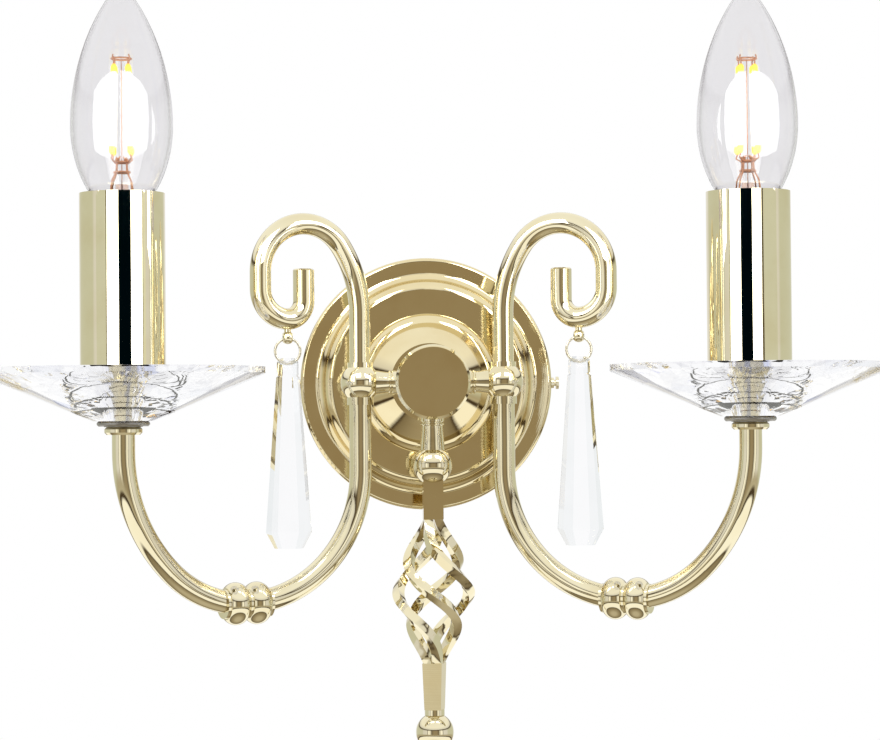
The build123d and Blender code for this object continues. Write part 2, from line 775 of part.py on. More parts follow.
def bulb_filament():
    """Four lit rods between the stem's lead wires and a cross piece at the top."""
    low = lamp_foot + filament_low
    high = low + filament_length
    shape = Pos(0, 0, high) * Cylinder(filament_top_circle + filament_radius, 2 * lead_radius)
    shape += Pos(0, 0, low) * Cylinder(filament_low_circle + filament_radius, 2 * lead_radius)
    shape += rod(lead_radius * 2, stem_top, low)
    for step in range(filament_count):
        turn = math.radians((step + 0.5) * 360 / filament_count)
        foot = Vector(math.cos(turn), math.sin(turn), 0) * filament_low_circle + Vector(0, 0, low)
        head = Vector(math.cos(turn), math.sin(turn), 0) * filament_top_circle + Vector(0, 0, high)
        line = Line(foot, head)
        shape += swept(Circle(filament_radius), line)
    return at_candle(shape)


# ---------------------------------------------------------------- drops
def eye_bead():
    """A small bead under the scroll, drilled for the wire ring."""
    shape = Pos(0, 0, eye_z) * Sphere(eye_radius)
    shape = shape & Pos(0, 0, eye_z) * Box(eye_thickness, 4 * eye_radius, 4 * eye_radius)
    shape += rod(eye_shank_radius, eye_z, eye_shank_top)
    shape -= Pos(0, 0, ring_top) * Rot(0, 90, 0) * Cylinder(eye_hole_radius, 4 * eye_radius)
    return Pos(pendant_x, pendant_y, 0) * shape


def ring_about(radius):
    """A torus of this wire radius where the pendant's ring is."""
    return Pos(pendant_x, pendant_y, ring_z) * Rot(90, 0, 0) * Torus(ring_radius, radius)


def crystal_section(width, height):
    """A rectangle with bevelled corners at a height."""
    deep = width * crystal_flatness
    bevel = width * crystal_bevel
    return Pos(0, 0, height) * chamfer(Rectangle(width, deep).vertices(), bevel)


def crystal_slice(width_low, low, width_high, high):
    return loft([crystal_section(width_low, low), crystal_section(width_high, high)], ruled=True)


def crystal():
    """A tapered, bevelled prism with a drilled head."""
    head_low = crystal_top - crystal_head_length
    shoulder = crystal_top - crystal_shoulder
    notch = head_low - crystal_notch / 2
    body_high = head_low - crystal_notch
    body_low = body_high - crystal_length + crystal_foot
    shape = crystal_slice(crystal_head_width, shoulder, crystal_top_width, crystal_top)
    shape += crystal_slice(crystal_head_width, head_low, crystal_head_width, shoulder)
    shape += crystal_slice(crystal_notch_width, notch, crystal_head_width, head_low)
    shape += crystal_slice(crystal_body_width, body_high, crystal_notch_width, notch)
    shape += crystal_slice(crystal_foot_width, body_low, crystal_body_width, body_high)
    shape += crystal_slice(crystal_tip_width, body_low - crystal_foot, crystal_foot_width, body_low)
    placed = Pos(pendant_x, pendant_y, 0) * Rot(0, 0, crystal_turn) * shape
    return placed - ring_about(ring_wire_radius + crystal_channel_gap)


# ---------------------------------------------------------------- centre stem
def stem_upper_bar():
    top = -ball_drop - ball_radius / 2
    shape = Pos(0, 0, (top + bar_bottom) / 2) * Box(bar_width, bar_width, top - bar_bottom)
    shape -= Pos(0, 0, -ball_drop) * Sphere(ball_radius)
    inner = -ball_drop - math.sqrt((ball_radius - ball_wall) ** 2 - ball_stub ** 2)
    shape += rod(ball_stub, bar_bottom, inner)
    return Pos(0, -ball_depth, 0) * shape


def basket_place(share, corner):
    """A point on one rod's centreline, a share of the way down the basket."""
    end_radius = (rod_width + rod_gap) / math.sqrt(2)
    swell = max(math.sin(math.pi * share), 0) ** basket_fullness
    radius = end_radius + (basket_radius - end_radius) * swell
    eased = share - basket_ease * math.sin(2 * math.pi * share) / (2 * math.pi)
    turn = math.radians(corner + basket_turn * eased)
    return Vector(radius * math.cos(turn), radius * math.sin(turn), bar_bottom - basket_height * share)


def basket_rod(corner):
    """One square rod of the open basket twist."""
    sections = []
    for station in range(basket_stations):
        share = station / (basket_stations - 1)
        place = basket_place(share, corner)
        before = basket_place(max(share - basket_step, 0), corner)
        after = basket_place(min(share + basket_step, 1), corner)
        along = (after - before).normalized()
        if station in (0, basket_stations - 1):
            along = Vector(0, 0, -1)
        outward = Vector(place.X, place.Y, 0)
        across = outward - along * outward.dot(along)
        frame = Plane(origin=place, x_dir=across, z_dir=along)
        sections.append(frame * Rot(0, 0, 45) * Rectangle(rod_width, rod_width))
    return Pos(0, -ball_depth, 0) * loft(sections)


def stem_lower_bar():
    high = Pos(0, 0, foot_bar_top) * Rectangle(bar_width, bar_width)
    low = Pos(0, 0, foot_bar_bottom) * Rectangle(foot_bar_end_width, foot_bar_end_width)
    return Pos(0, -ball_depth, 0) * Rot(0, 0, basket_turn) * loft([high, low], ruled=True)


def end_ball():
    collar_low = foot_bar_bottom - end_collar_height
    shape = Pos(0, 0, end_ball_z) * Sphere(end_ball_radius)
    shape += rod(end_collar_radius, collar_low - end_ball_sink, foot_bar_bottom)
    button = end_ball_z - end_ball_radius - end_button_height / 2
    shape += rod(end_button_neck, button, end_ball_z)
    shape += Pos(0, 0, button) * Sphere(end_button_radius)
    return Pos(0, -ball_depth, 0) * shape


# ---------------------------------------------------------------- wiring
def arm_cable():
    """The flex from the lampholder through arm, ball, spigot, hub and nipple to the terminals."""
    top = dish_floor + holder_partition_height
    in_arm = [arm_plane.location * edge for edge in arm_edges(-cable_bend, top)]
    wall_y = -strap_sheet - block_depth / 2
    hub_y = -ball_depth
    ball_plane = Plane(origin=(ball_x, hub_y, 0), x_dir=(1, 0, 0), z_dir=(0, -1, 0))
    hub_plane = Plane(origin=(cable_offset, hub_y, 0), x_dir=(1, 0, 0), z_dir=(0, 0, 1))
    wall_plane = Plane(origin=(cable_offset, wall_y, 0), x_dir=(0, 1, 0), z_dir=(1, 0, 0))
    edges = in_arm + [
        ball_plane.location * CenterArc((-cable_bend, -cable_bend), cable_bend, 0, 90),
        Line((ball_x - cable_bend, hub_y, 0), (cable_offset + cable_bend, hub_y, 0)),
        hub_plane.location * CenterArc((cable_bend, cable_bend), cable_bend, 270, -90),
        Line((cable_offset, hub_y + cable_bend, 0), (cable_offset, wall_y - cable_bend, 0)),
        wall_plane.location * CenterArc((-cable_bend, cable_bend), cable_bend, 270, 90),
        Line((cable_offset, wall_y, cable_bend), (cable_offset, wall_y, block_low + block_entry_depth)),
    ]
    path = Wire(edges)
    start = Plane(origin=(candle_x, candle_y, top), z_dir=(0, 0, -1))
    print("length of one flex", round(path.length, 1))
    return sweep(start * Circle(cable_radius), path=path)


# ---------------------------------------------------------------- build and write
save("backplate", backplate())
save("wall_strap", wall_strap())
save("side_screws", side_screw() + mirror(side_screw(), about=Plane.YZ))
save("earth_screw", earth_screw())
save("terminal_block", terminal_block())
save("hub_body", hub_body())
save("hub_cap", hub_cap())
save("hub_nipple", hub_nipple())
save("hub_nut", hub_nut())

side_spigot = Pos(0, -ball_depth, 0) * Rot(0, 90, 0) * spigot(ball_x, spigot_flare, spigot_bore)
save_pair("spigot", side_spigot)
save("spigot_bottom", Pos(0, -ball_depth, 0) * Rot(180, 0, 0) * spigot(ball_drop, drop_spigot_flare, 0))
save_pair("ball", Pos(ball_x, -ball_depth, 0) * ball(-1))
save("ball_bottom", Pos(0, -ball_depth, -ball_drop) * ball_bottom())

save_pair("arm_tube", arm_tube())
save_pair("twin_bead", twin_bead())
save_pair("scroll", scroll())
save_pair("arm_collar", arm_collar())
save_pair("dish_washer", dish_washer())
save_pair("candle_nipple", candle_nipple())
save_pair("bobeche", bobeche())
save_pair("candle_sleeve", candle_sleeve())
save_pair("lampholder_body", lampholder_body())
save_pair("lampholder_shell", lampholder_shell())
save_pair("lampholder_contact", lampholder_contact())
save_pair("bulb_contact", bulb_contact())
save_pair("bulb_cap", bulb_cap())
save_pair("bulb_glass", bulb_glass())
save_pair("bulb_filament", bulb_filament())
save_pair("eye_bead", eye_bead())
save_pair("pendant_ring", ring_about(ring_wire_radius))
save_pair("crystal", crystal())

save("stem_upper_bar", stem_upper_bar())
for rod_index in range(basket_rods):
    corner = basket_first_corner + rod_index * 360 / basket_rods
    save("basket_rod_" + str(rod_index + 1), basket_rod(corner))
save("stem_lower_bar", stem_lower_bar())
save("end_ball", end_ball())
save_pair("arm_cable", arm_cable())
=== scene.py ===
import math

import bpy
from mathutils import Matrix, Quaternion, Vector


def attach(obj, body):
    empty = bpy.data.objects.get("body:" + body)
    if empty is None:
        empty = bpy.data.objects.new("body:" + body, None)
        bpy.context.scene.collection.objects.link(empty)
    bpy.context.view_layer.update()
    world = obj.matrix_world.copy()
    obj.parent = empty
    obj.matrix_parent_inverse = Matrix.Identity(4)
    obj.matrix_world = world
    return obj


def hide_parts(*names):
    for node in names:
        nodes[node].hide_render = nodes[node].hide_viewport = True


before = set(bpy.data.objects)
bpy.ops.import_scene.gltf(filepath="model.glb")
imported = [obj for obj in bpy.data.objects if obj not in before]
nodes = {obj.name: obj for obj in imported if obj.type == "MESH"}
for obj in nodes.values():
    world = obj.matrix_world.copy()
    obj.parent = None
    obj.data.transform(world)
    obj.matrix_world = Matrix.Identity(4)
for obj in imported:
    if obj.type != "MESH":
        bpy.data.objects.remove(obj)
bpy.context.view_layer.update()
scene = bpy.context.scene
SIDES = {"left": -1, "right": 1}
UP = Vector((0, 0, 1))

# ---------------------------------------------------------------- sizes, in metres
# the candles' axes, mirrored left and right
CANDLE_X = 0.10838
CANDLE_Y = -0.08024

# the lamps' lit rods and wires; bends are ways outwards and up
ROD_RADIUS = 0.00105
ROD_LOW_CIRCLE = 0.0044
ROD_TOP_CIRCLE = 0.0034
ROD_LOW = 0.0779
ROD_TOP = 0.1093
WIRE_RADIUS = 0.00028
STEM_REACH = 0.0072
STEM_TOP = 0.0762
SOLDER_TOP = 0.0398
DOME_REACH = 0.8
DOME_SHARE = 0.45
RING_STEPS = 32
HOOK_BENDS = ((0.0, 0.0), (0.0, 0.0012), (0.0007, 0.0020), (0.0004, 0.0029))
LEAD_BENDS = ((ROD_LOW_CIRCLE, 0.0), (ROD_LOW_CIRCLE + 0.0004, -0.00115), (0.0030, -0.0024),
              (0.0024, -0.0008), (0.0014, STEM_TOP - ROD_LOW))
FLARE_BENDS = ((0.0009, 0.0012), (0.0023, 0.0), (0.0026, -0.0038), (0.0046, -0.0072), (0.0052, -0.0110))
CORE_WIRE_LEVELS = (STEM_TOP - 0.0120, 0.090, ROD_TOP + 0.0012)
# level, radius and thickness against the plain wire
WIRE_RINGS = ((STEM_TOP - 0.0006, 0.0024, 1.3), (STEM_TOP - 0.0040, 0.0027, 1.3),
              (ROD_TOP + 0.0018, 0.0034, 1.2))

# the dish's cut, painted into the crystal's colour with painted reflections and shade
FACETS = 20
FACET_ROW = 0.0095
SEAM_WIDTH = 0.045

# the stage; card edges are in millimetres from the candle's axis
SLEEVE_CARD_Y = -0.110
SLEEVE_CARD_Z = (0.0055, 0.068)
LAMP_CARD_Y = -0.128
LAMP_CARD_Z = (0.055, 0.125)
CARD_LEVEL = 4.0
LAMP_CARD_LEVEL = 8.0
LEFT_EDGES = (-60, -19.0, -17.4, -2.4, 11.1, 34, 37, 50)
RIGHT_EDGES = (-50, -45.5, -41.9, -14.8, -1.5, 9.1, 11.6, 60)
LAMP_EDGES = (-78, -9, 0, 88)
FLOOR_PLACE = (0, -0.1, -1.2)
FLOOR_SIZE = (6, 6)
GLOSS_LEVEL = 1.3
LIT_LEVEL = 1.6

# the camera
CAMERA_PLACE = (-0.058, -1.0, -0.0155)
CAMERA_DIRECTION = (0.0635, 1.0, 0.0207)
CAMERA_ROLL = -0.0085
CAMERA_LENS = 109.25

# how strongly each glass bends light
DISH_IOR = 1.52
DROP_IOR = 1.20
LAMP_IOR = 1.45

# ---------------------------------------------------------------- colours, linear
PALE_BRASS = ((0.775, 0.712, 0.520), (0.725, 0.646, 0.440))
WARM_BRASS = ((0.760, 0.664, 0.430), (0.715, 0.604, 0.366))
GLASS_GREY = (0.905, 0.898, 0.904)
CLEAR = (0.992, 0.994, 0.998)


# ---------------------------------------------------------------- node helpers
class Nodes:
    """A short way to build one node tree."""

    def __init__(self, tree):
        self.tree = tree
        tree.nodes.clear()

    def add(self, kind, inputs=None, **settings):
        node = self.tree.nodes.new(kind)
        for name, value in settings.items():
            setattr(node, name, value)
        for name, value in (inputs or {}).items():
            socket = node.inputs[name]
            if isinstance(value, bpy.types.NodeSocket):
                self.tree.links.new(value, socket)
            elif hasattr(value, "__len__") and len(value) == 3 and len(socket.default_value) == 4:
                socket.default_value = (*value, 1.0)
            else:
                socket.default_value = value
        return node

    def math(self, operation, a, b=None):
        inputs = {0: a} if b is None else {0: a, 1: b}
        return self.add("ShaderNodeMath", inputs, operation=operation).outputs[0]

    def mix(self, share, a, b, blend="MIX"):
        node = self.add("ShaderNodeMix", data_type="RGBA", blend_type=blend)
        for socket, value in zip([node.inputs[0], node.inputs[6], node.inputs[7]], (share, a, b)):
            if isinstance(value, bpy.types.NodeSocket):
                self.tree.links.new(value, socket)
            elif isinstance(value, tuple):
                socket.default_value = (*value, 1.0)
            else:
                socket.default_value = value
        return node.outputs[2]

    def ramp(self, value, stops, interpolation="LINEAR"):
        node = self.add("ShaderNodeValToRGB", {0: value})
        node.color_ramp.interpolation = interpolation
        elements = node.color_ramp.elements
        while len(elements) > 1:
            elements.remove(elements[-1])
        for step, (place, colour) in enumerate(stops):
            element = elements[0] if step == 0 else elements.new(place)
            element.position = place
            element.color = (*colour, 1.0)
        return node.outputs[0]

    def remap(self, value, low, high, to_low, to_high, smooth=False):
        node = self.add("ShaderNodeMapRange", {0: value, 1: low, 2: high, 3: to_low, 4: to_high})
        node.interpolation_type = "SMOOTHSTEP" if smooth else "LINEAR"
        return node.outputs[0]

    def place(self, scale=(1, 1, 1)):
        """Coordinates on the object, stretched."""
        coords = self.add("ShaderNodeTexCoord").outputs["Object"]
        return self.add("ShaderNodeMapping", {"Vector": coords, "Scale": scale}).outputs[0]

    def noise(self, vector, scale, detail=2.0, roughness=0.5):
        node = self.add("ShaderNodeTexNoise", {"Vector": vector, "Scale": scale, "Detail": detail,
                                               "Roughness": roughness})
        return node.outputs["Fac"]

    def bump(self, height, distance, strength, normal=None):
        inputs = {"Height": height, "Distance": distance, "Strength": strength}
        if normal is not None:
            inputs["Normal"] = normal
        return self.add("ShaderNodeBump", inputs).outputs[0]


def material(name):
    made = bpy.data.materials.new(name)
    made.use_nodes = True
    return made, Nodes(made.node_tree)


def principled(n, **inputs):
    names = {key.replace("_", " "): value for key, value in inputs.items()}
    shader = n.add("ShaderNodeBsdfPrincipled", names)
    n.add("ShaderNodeOutputMaterial", {"Surface": shader.outputs[0]})
    return shader


# ---------------------------------------------------------------- metals
def brass(name, colours, wave=0.6, wave_scale=70, rough=(0.03, 0.075), lines=None):
    """Polished lacquered brass: a soft unevenness in colour, gloss and surface."""
    made, n = material(name)
    place = n.place()
    patches = n.noise(place, 55, 3, 0.55)
    colour = n.mix(n.remap(patches, 0.35, 0.75, 0, 1, True), *colours)
    specks = n.noise(place, 900, 4, 0.6)
    roughness = n.remap(specks, 0.3, 0.75, rough[0], rough[1])
    normal = n.bump(n.noise(place, wave_scale, 1), 0.0003, wave)
    if lines:
        normal = n.bump(lines(n), 0.00002, 0.25, normal)
    principled(n, Base_Color=colour, Metallic=1.0, Roughness=roughness, Normal=normal)
    return made


def spin_lines(n):
    """Fine rings about the plate's axis, as a lathe leaves them."""
    coords = n.add("ShaderNodeTexCoord").outputs["Object"]
    flat = n.add("ShaderNodeVectorMath", {0: coords, 1: (1, 0, 1)}, operation="MULTIPLY").outputs[0]
    radius = n.add("ShaderNodeVectorMath", {0: flat}, operation="LENGTH").outputs["Value"]
    rings = n.add("ShaderNodeTexNoise", {"W": radius, "Scale": 1800, "Detail": 2}, noise_dimensions="1D")
    return rings.outputs[0]


def draw_lines(n):
    """Fine upright lines, as drawing through a die leaves them."""
    return n.noise(n.place((1, 1, 0.02)), 1500, 2)


def dull_metal(name, base, other, rough, scale=240):
    """Metal with a satin surface and clouds of a second colour."""
    made, n = material(name)
    place = n.place()
    cloud = n.noise(place, scale, 4, 0.6)
    fine = n.noise(place, scale * 9, 2)
    principled(n, Base_Color=n.mix(n.remap(cloud, 0.35, 0.7, 0, 1), base, other), Metallic=1.0,
               Roughness=n.remap(fine, 0.3, 0.7, rough[0], rough[1]),
               Normal=n.bump(fine, 0.00003, 0.35))
    return made


def spangled_steel(name):
    """Zinc-plated sheet with its crystal spangle."""
    made, n = material(name)
    place = n.place()
    cells = n.add("ShaderNodeTexVoronoi", {"Vector": place, "Scale": 320})
    tone = n.add("ShaderNodeSeparateColor", {0: cells.outputs["Color"]}).outputs[0]
    principled(n, Base_Color=n.mix(tone, (0.50, 0.51, 0.52), (0.66, 0.67, 0.68)), Metallic=1.0,
               Roughness=n.remap(tone, 0, 1, 0.28, 0.46), Normal=n.bump(tone, 0.00002, 0.3))
    return made


# ---------------------------------------------------------------- plastics
def plastic(name, base, other):
    """Moulded plastic with a fine grain."""
    made, n = material(name)
    place = n.place()
    cloud = n.noise(place, 90, 3)
    fine = n.noise(place, 1800, 3)
    principled(n, Base_Color=n.mix(n.remap(cloud, 0.35, 0.7, 0, 1), base, other),
               Roughness=n.remap(fine, 0.3, 0.7, 0.32, 0.5), Normal=n.bump(fine, 0.00005, 0.3))
    return made


def lamp_foot(name):
    """Dark glassy insulator with a soldered button below."""
    made, n = material(name)
    coords = n.add("ShaderNodeTexCoord").outputs["Object"]
    upright = n.add("ShaderNodeSeparateXYZ", {0: coords}).outputs[2]
    solder = n.math("LESS_THAN", upright, SOLDER_TOP)
    fine = n.noise(n.place(), 1400, 3)
    colour = n.mix(solder, n.mix(fine, (0.012, 0.011, 0.014), (0.03, 0.028, 0.034)),
                   n.mix(fine, (0.52, 0.51, 0.49), (0.68, 0.67, 0.64)))
    principled(n, Base_Color=colour, Metallic=solder, Roughness=n.remap(fine, 0.3, 0.7, 0.15, 0.4),
               Normal=n.bump(fine, 0.0001, 0.4))
    return made


# ---------------------------------------------------------------- glass
def see_through(n, shader, tint):
    """The glass itself, with a shadow no darker than its tint."""
    clear = n.add("ShaderNodeBsdfTransparent", {"Color": tint})
    shadow = n.add("ShaderNodeLightPath").outputs["Is Shadow Ray"]
    joined = n.add("ShaderNodeMixShader", {0: shadow, 1: shader.outputs[0], 2: clear.outputs[0]})
    n.add("ShaderNodeOutputMaterial", {"Surface": joined.outputs[0]})


def crystal(name, tint, wave, ior):
    """Cut lead crystal: polished facets with faint cords in the glass. tint makes its colour, with painted
    reflections and shade included.
    """
    made, n = material(name)
    place = n.place()
    cords = n.noise(n.place((1, 1, 0.35)), 220, 2)
    shader = n.add("ShaderNodeBsdfPrincipled", {
        "Base Color": tint(n), "Transmission Weight": 1.0, "IOR": ior,
        "Roughness": n.remap(n.noise(place, 1500, 2), 0.4, 0.8, 0.0, 0.012),
        "Normal": n.bump(cords, 0.0001, wave)})
    see_through(n, shader, (0.93, 0.93, 0.94))
    return made


def from_axis(n):
    """Offset from the nearer candle's axis, mirrored, and the distance to it."""
    coords = n.add("ShaderNodeTexCoord").outputs["Object"]
    sides = n.add("ShaderNodeVectorMath", {0: coords}, operation="ABSOLUTE").outputs[0]
    axis = (CANDLE_X, -CANDLE_Y, 0)
    offset = n.add("ShaderNodeVectorMath", {0: sides, 1: axis}, operation="SUBTRACT").outputs[0]
    flat = n.add("ShaderNodeVectorMath", {0: offset, 1: (1, 1, 0)}, operation="MULTIPLY").outputs[0]
    return flat, n.add("ShaderNodeVectorMath", {0: flat}, operation="LENGTH").outputs["Value"]


def diamond_facet_reflections(n):
    """Rows of diamond facets painted into the glass's colour: most of them clear, some with a painted pale
    grey reflection, a few with a painted violet glint, and painted shade along their edges.
    """
    flat, radius = from_axis(n)
    parts = n.add("ShaderNodeSeparateXYZ", {0: flat})
    turn = n.math("ARCTAN2", parts.outputs[1], parts.outputs[0])
    along = n.math("MULTIPLY", turn, FACETS / (2 * math.pi))
    row = n.math("DIVIDE", radius, FACET_ROW)
    first = n.math("ADD", along, row)
    second = n.math("SUBTRACT", along, row)
    cell = n.add("ShaderNodeCombineXYZ", {0: n.math("FLOOR", first), 1: n.math("FLOOR", second)}).outputs[0]
    pick = n.add("ShaderNodeTexWhiteNoise", {"Vector": cell}, noise_dimensions="2D").outputs["Value"]
    # painted reflections: a random share of facets is tinted pale grey or violet, as reflections and glints
    # would colour them
    facet_reflection = n.ramp(pick, [(0.0, CLEAR), (0.50, (0.965, 0.968, 0.980)), (0.72, (0.925, 0.932, 0.955)),
                          (0.88, (0.860, 0.875, 0.920)), (0.95, (0.560, 0.610, 0.850))], "CONSTANT")
    # painted shade: the colour greys towards the edges between facets
    seam = n.math("MINIMUM", n.math("PINGPONG", first, 0.5), n.math("PINGPONG", second, 0.5))
    return n.mix(n.remap(seam, 0.0, SEAM_WIDTH, 0.75, 0.0, True), facet_reflection, (0.80, 0.80, 0.83))


def drop_bevel_reflection(n):
    """Clear in front and behind, with a painted pale grey-blue reflection on the bevels at its sides."""
    normal = n.add("ShaderNodeNewGeometry").outputs["True Normal"]
    sideways = n.math("ABSOLUTE", n.add("ShaderNodeSeparateXYZ", {0: normal}).outputs[0])
    cloud = n.noise(n.place(), 90, 2)
    front = n.mix(n.remap(cloud, 0.35, 0.7, 0, 1), (0.996, 0.996, 0.996), (0.984, 0.986, 0.986))
    # painted reflection: faces turned sideways are tinted grey-blue, as what they reflect and refract would
    # colour them
    bevel_reflection = n.mix(n.remap(cloud, 0.35, 0.7, 0, 1), (0.900, 0.920, 0.920), (0.855, 0.880, 0.878))
    return n.mix(n.remap(sideways, 0.20, 0.35, 0, 1), front, bevel_reflection)


def lamp_glass(name):
    """Blown clear glass with painted shade darkening it towards its rims, and the pinkish stem that carries
    the lead wires.
    """
    made, n = material(name)
    cloud = n.noise(n.place((1, 1, 0.5)), 60, 2)
    radius = from_axis(n)[1]
    coords = n.add("ShaderNodeTexCoord").outputs["Object"]
    upright = n.add("ShaderNodeSeparateXYZ", {0: coords}).outputs[2]
    stem = n.math("MULTIPLY", n.math("LESS_THAN", radius, STEM_REACH), n.math("LESS_THAN", upright, ROD_LOW))
    # painted shade: the tint goes from grey to near black as the glass turns edge-on to each ray, standing
    # in for the bulb's dark rims
    facing = n.add("ShaderNodeLayerWeight", {"Blend": 0.5}).outputs["Facing"]
    tint = n.ramp(facing, [(0.0, GLASS_GREY), (0.50, GLASS_GREY), (0.66, (0.82, 0.81, 0.82)),
                           (0.80, (0.42, 0.41, 0.42)), (1.0, (0.30, 0.29, 0.30))])
    tint = n.mix(stem, tint, n.mix(n.remap(cloud, 0.35, 0.65, 0, 1), (0.93, 0.70, 0.60), (0.97, 0.84, 0.78)))
    shader = n.add("ShaderNodeBsdfPrincipled", {
        "Base Color": tint, "Transmission Weight": 1.0, "IOR": LAMP_IOR,
        "Roughness": n.remap(n.noise(n.place(), 1200, 2), 0.4, 0.8, 0.0, 0.01),
        "Normal": n.bump(cloud, 0.0002, 0.25)})
    see_through(n, shader, (0.90, 0.90, 0.91))
    return made


# ---------------------------------------------------------------- the lamp's lit rods and wires
def lit_rods(name):
    """Phosphor-coated rods: pale in the middle, yellow at their ends."""
    made, n = material(name)
    coords = n.add("ShaderNodeTexCoord").outputs["Object"]
    upright = n.add("ShaderNodeSeparateXYZ", {0: coords}).outputs[2]
    share = n.remap(upright, ROD_LOW, ROD_TOP, 0, 1)
    yellow = (1.0, 0.74, 0.06)
    pale = (1.0, 0.97, 0.86)
    colour = n.ramp(share, [(0.0, (0.80, 0.42, 0.03)), (0.03, yellow), (0.085, yellow), (0.12, pale),
                            (0.88, pale), (0.915, yellow), (0.97, yellow), (1.0, (0.75, 0.38, 0.04))])
    grain = n.noise(n.place(), 2500, 3)
    power = n.remap(n.math("ABSOLUTE", n.math("SUBTRACT", share, 0.5)), 0.36, 0.42, LIT_LEVEL, 0.85)
    strength = n.math("MULTIPLY", power, n.remap(grain, 0.3, 0.7, 0.85, 1.1))
    principled(n, Base_Color=colour, Roughness=n.remap(grain, 0.3, 0.7, 0.45, 0.7), Emission_Color=colour,
               Emission_Strength=strength, Normal=n.bump(grain, 0.0001, 0.4))
    return made


# ---------------------------------------------------------------- flex and wire
def flex_cover(name):
    """Two-core flex in a pale sleeve with a fine braid."""
    made, n = material(name)
    place = n.place()
    weave = n.add("ShaderNodeTexWave", {"Vector": place, "Scale": 420, "Distortion": 2.5, "Detail": 2},
                  bands_direction="DIAGONAL").outputs[1]
    principled(n, Base_Color=n.mix(weave, (0.62, 0.55, 0.38), (0.80, 0.74, 0.58)),
               Roughness=n.remap(weave, 0, 1, 0.42, 0.62), Normal=n.bump(weave, 0.0001, 0.4))
    return made


finishes = {
    "brass_flat": brass("brass_flat_polish", WARM_BRASS, 0.30, 60, (0.03, 0.065), spin_lines),
    "brass_tube": brass("brass_tube_polish", PALE_BRASS, 0.70, 75),
    "brass_turned": brass("brass_turned_polish", PALE_BRASS, 0.40, 130),
    "brass_sleeve": brass("brass_sleeve_polish", PALE_BRASS, 0.05, 30, (0.02, 0.05), draw_lines),
    "brass_small": brass("brass_small_polish", PALE_BRASS, 0.45, 160, (0.05, 0.12)),
    "pewter": dull_metal("pewter_satin", (0.30, 0.29, 0.28), (0.42, 0.41, 0.39), (0.30, 0.48)),
    "strap_steel": spangled_steel("zinc_sheet"),
    "block_plastic": plastic("terminal_plastic", (0.70, 0.69, 0.65), (0.78, 0.77, 0.73)),
    "cut_crystal": crystal("dish_crystal", diamond_facet_reflections, 0.05, DISH_IOR),
    "drop_crystal": crystal("drop_crystal_clear", drop_bevel_reflection, 0.10, DROP_IOR),
    "lamp_glass": lamp_glass("blown_glass"),
    "lamp_cap_metal": dull_metal("nickel_satin", (0.58, 0.56, 0.52), (0.70, 0.68, 0.64), (0.18, 0.30), 400),
    "lamp_foot": lamp_foot("foot_insulator"),
    "filament": lit_rods("lit_phosphor"),
    "holder_plastic": plastic("holder_thermoset", (0.84, 0.83, 0.80), (0.90, 0.89, 0.86)),
    "ring_wire": dull_metal("ring_wire_polish", (0.66, 0.62, 0.52), (0.74, 0.69, 0.56), (0.08, 0.18), 500),
    "flex": flex_cover("flex_sleeving"),
}
forged_brass = brass("brass_forged_polish", PALE_BRASS, 1.0, 210)
copper = dull_metal("copper_wire", (0.62, 0.30, 0.17), (0.78, 0.42, 0.25), (0.18, 0.34), 900)

for name, node in nodes.items():
    for place in node.material_slots:
        slot_name = place.material.name.split(".")[0]
        place.material = forged_brass if name.startswith("basket_rod") else finishes[slot_name]


# ---------------------------------------------------------------- the lamp's inside, finer than its solids
def tube(vertices, faces, points, radius, around=14):
    """A round rod along the points, closed with a small dome at both ends."""
    points = [Vector(p) for p in points]
    start = (points[0] - points[1]).normalized()
    end = (points[-1] - points[-2]).normalized()
    line = [(points[0] + start * radius * DOME_REACH, DOME_SHARE)]
    line += [(point, 1.0) for point in points]
    line += [(points[-1] + end * radius * DOME_REACH, DOME_SHARE)]
    side = start.orthogonal().normalized()
    first = len(vertices)
    for step, (point, share) in enumerate(line):
        before = line[max(step - 1, 0)][0]
        after = line[min(step + 1, len(line) - 1)][0]
        along = (after - before).normalized()
        side = (side - along * side.dot(along)).normalized()
        other = along.cross(side)
        for turn in range(around):
            angle = 2 * math.pi * turn / around
            vertices.append(point + (side * math.cos(angle) + other * math.sin(angle)) * radius * share)
    for step in range(len(line) - 1):
        for turn in range(around):
            a = first + step * around + turn
            b = first + step * around + (turn + 1) % around
            faces.append((a, b, b + around, a + around))
    faces.append(tuple(first + turn for turn in reversed(range(around))))
    faces.append(tuple(first + (len(line) - 1) * around + turn for turn in range(around)))


def piece(name, vertices, faces, body, finish):
    mesh = bpy.data.meshes.new(name)
    mesh.from_pydata([tuple(v) for v in vertices], [], faces)
    mesh.validate()
    for polygon in mesh.polygons:
        polygon.use_smooth = True
    mesh.materials.append(finish)
    made = bpy.data.objects.new(name, mesh)
    scene.collection.objects.link(made)
    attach(made, body)
    return made


def bent(start, out, bends):
    """Points that go outwards and up from the start, as the bends say."""
    return [start + out * outwards + UP * rise for outwards, rise in bends]


